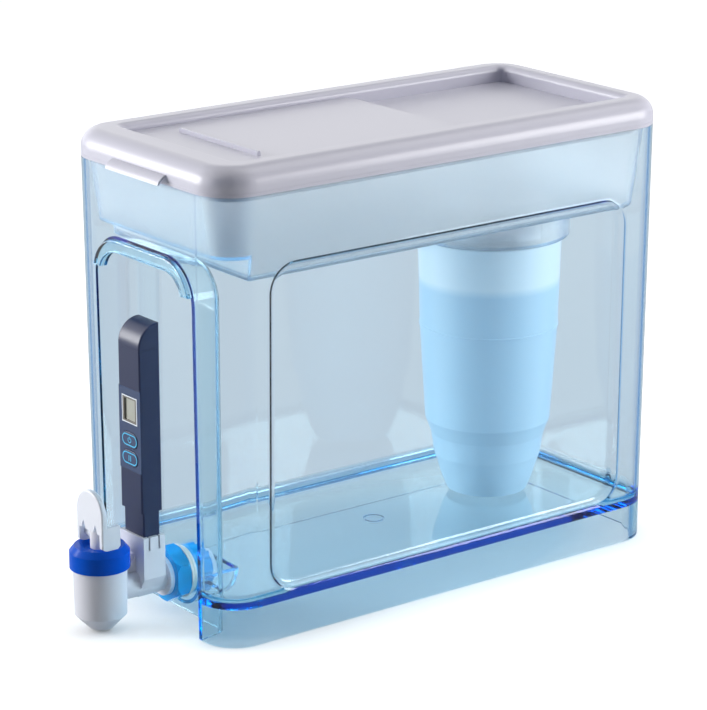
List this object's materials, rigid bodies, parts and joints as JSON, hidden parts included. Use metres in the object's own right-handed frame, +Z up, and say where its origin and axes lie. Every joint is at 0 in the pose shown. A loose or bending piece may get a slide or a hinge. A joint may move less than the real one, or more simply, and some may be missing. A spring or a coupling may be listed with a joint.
{
  "type": "gravity water filter with tap",
  "caption": "Clear blue countertop gravity water filter: tank with front tap and water tester, upper reservoir with filter cartridge, lid with sliding fill door.",
  "frame": {"origin": "middle of the whole outline at table level", "axes": "-Y is the side with the tap, +X is to the right of someone who faces the tap, +Z is up"},
  "size_m": [0.177, 0.4318, 0.3165],
  "materials": {
    "clear_blue": "clear light blue, gloss",
    "lid_grey": "satin pale grey",
    "tap_grey": "satin light grey",
    "lever_white": "satin off-white",
    "royal_blue": "clear royal blue, gloss",
    "nut_blue": "clear blue, gloss",
    "white_plastic": "plain white",
    "silicone": "pale silicone",
    "steel": "bright stainless",
    "filter_blue": "milky blue, satin",
    "carbon": "dark granules",
    "resin": "blue and amber beads",
    "foam": "open foam",
    "membrane": "non-woven",
    "meter_dark": "dark blue-grey, gloss",
    "label_dark": "near black, gloss",
    "bezel_black": "black, gloss",
    "lcd": "grey-green display",
    "board_green": "circuit board",
    "key_dark": "dark blue, satin",
    "cell_steel": "button cell"
  },
  "bodies": {
    "tank_unit": {"tank": "clear_blue", "tap_body": "tap_grey", "bonnet": "royal_blue", "outer_nut": "nut_blue", "outer_gasket": "silicone", "inner_gasket": "silicone", "inner_nut": "nut_blue", "tap_spring": "steel"},
    "reservoir_unit": {"reservoir": "clear_blue"},
    "lid_unit": {"lid": "lid_grey"},
    "door_unit": {"fill_door": "lid_grey"},
    "filter_unit": {"filter_cup": "filter_blue", "filter_sleeve": "filter_blue", "filter_seal": "silicone", "inlet_screen": "white_plastic", "foam_disc": "foam", "carbon_bed": "carbon", "resin_bed": "resin", "membrane_disc": "membrane"},
    "stem_unit": {"stem": "white_plastic", "seat_cup": "silicone", "lever_pin": "steel"},
    "lever_unit": {"lever": "lever_white"},
    "tester_unit": {"tester_case": "meter_dark", "face_label": "label_dark", "window_frame": "bezel_black", "lcd_panel": "lcd", "tester_board": "board_green", "probe_pins": "steel"},
    "battery_unit": {"battery_cap": "meter_dark", "battery_tray": "white_plastic", "coin_cells": "cell_steel"},
    "power_key": {"power_button": "key_dark"},
    "hold_key": {"hold_button": "key_dark"}
  },
  "joints": [
    {"name": "reservoir_lift", "type": "slide", "parent": "tank_unit", "child": "reservoir_unit", "axis": [0, 0, 1], "range_m": [0, 0.28]},
    {"name": "lid_lift", "type": "slide", "parent": "reservoir_unit", "child": "lid_unit", "axis": [0, 0, 1], "range_m": [0, 0.15]},
    {"name": "door_slide", "type": "slide", "parent": "lid_unit", "child": "door_unit", "axis": [0, 1, 0], "range_m": [0, 0.136]},
    {"name": "filter_twist", "type": "hinge", "parent": "reservoir_unit", "child": "filter_unit", "pos_m": [0, 0.12998, 0.2177], "axis": [0, 0, 1], "range_deg": [-60, 0]},
    {"name": "stem_lift", "type": "slide", "parent": "tank_unit", "child": "stem_unit", "axis": [0, 0, 1], "range_m": [0, 0.00195], "stiffness_N_per_m": 250, "springref_m": -0.0035, "deforming": ["tap_spring"]},
    {"name": "lever_pull", "type": "hinge", "parent": "stem_unit", "child": "lever_unit", "pos_m": [0, -0.19603, 0.06505], "axis": [1, 0, 0], "range_deg": [0, 40]},
    {"name": "tester_lift", "type": "slide", "parent": "tank_unit", "child": "tester_unit", "axis": [0, 0, 1], "range_m": [0, 0.0185]},
    {"name": "cap_pull", "type": "slide", "parent": "tester_unit", "child": "battery_unit", "axis": [0, 0, 1], "range_m": [0, 0.0185]},
    {"name": "power_press", "type": "slide", "parent": "tester_unit", "child": "power_key", "axis": [0, 1, 0], "range_m": [0, 0.0005], "stiffness_N_per_m": 400, "springref_m": -0.002},
    {"name": "hold_press", "type": "slide", "parent": "tester_unit", "child": "hold_key", "axis": [0, 1, 0], "range_m": [0, 0.0005], "stiffness_N_per_m": 400, "springref_m": -0.002}
  ],
  "couplings": [
    {"joint": "lever_pull", "follows": "stem_lift", "rad_per_m": 357.14}
  ]
}
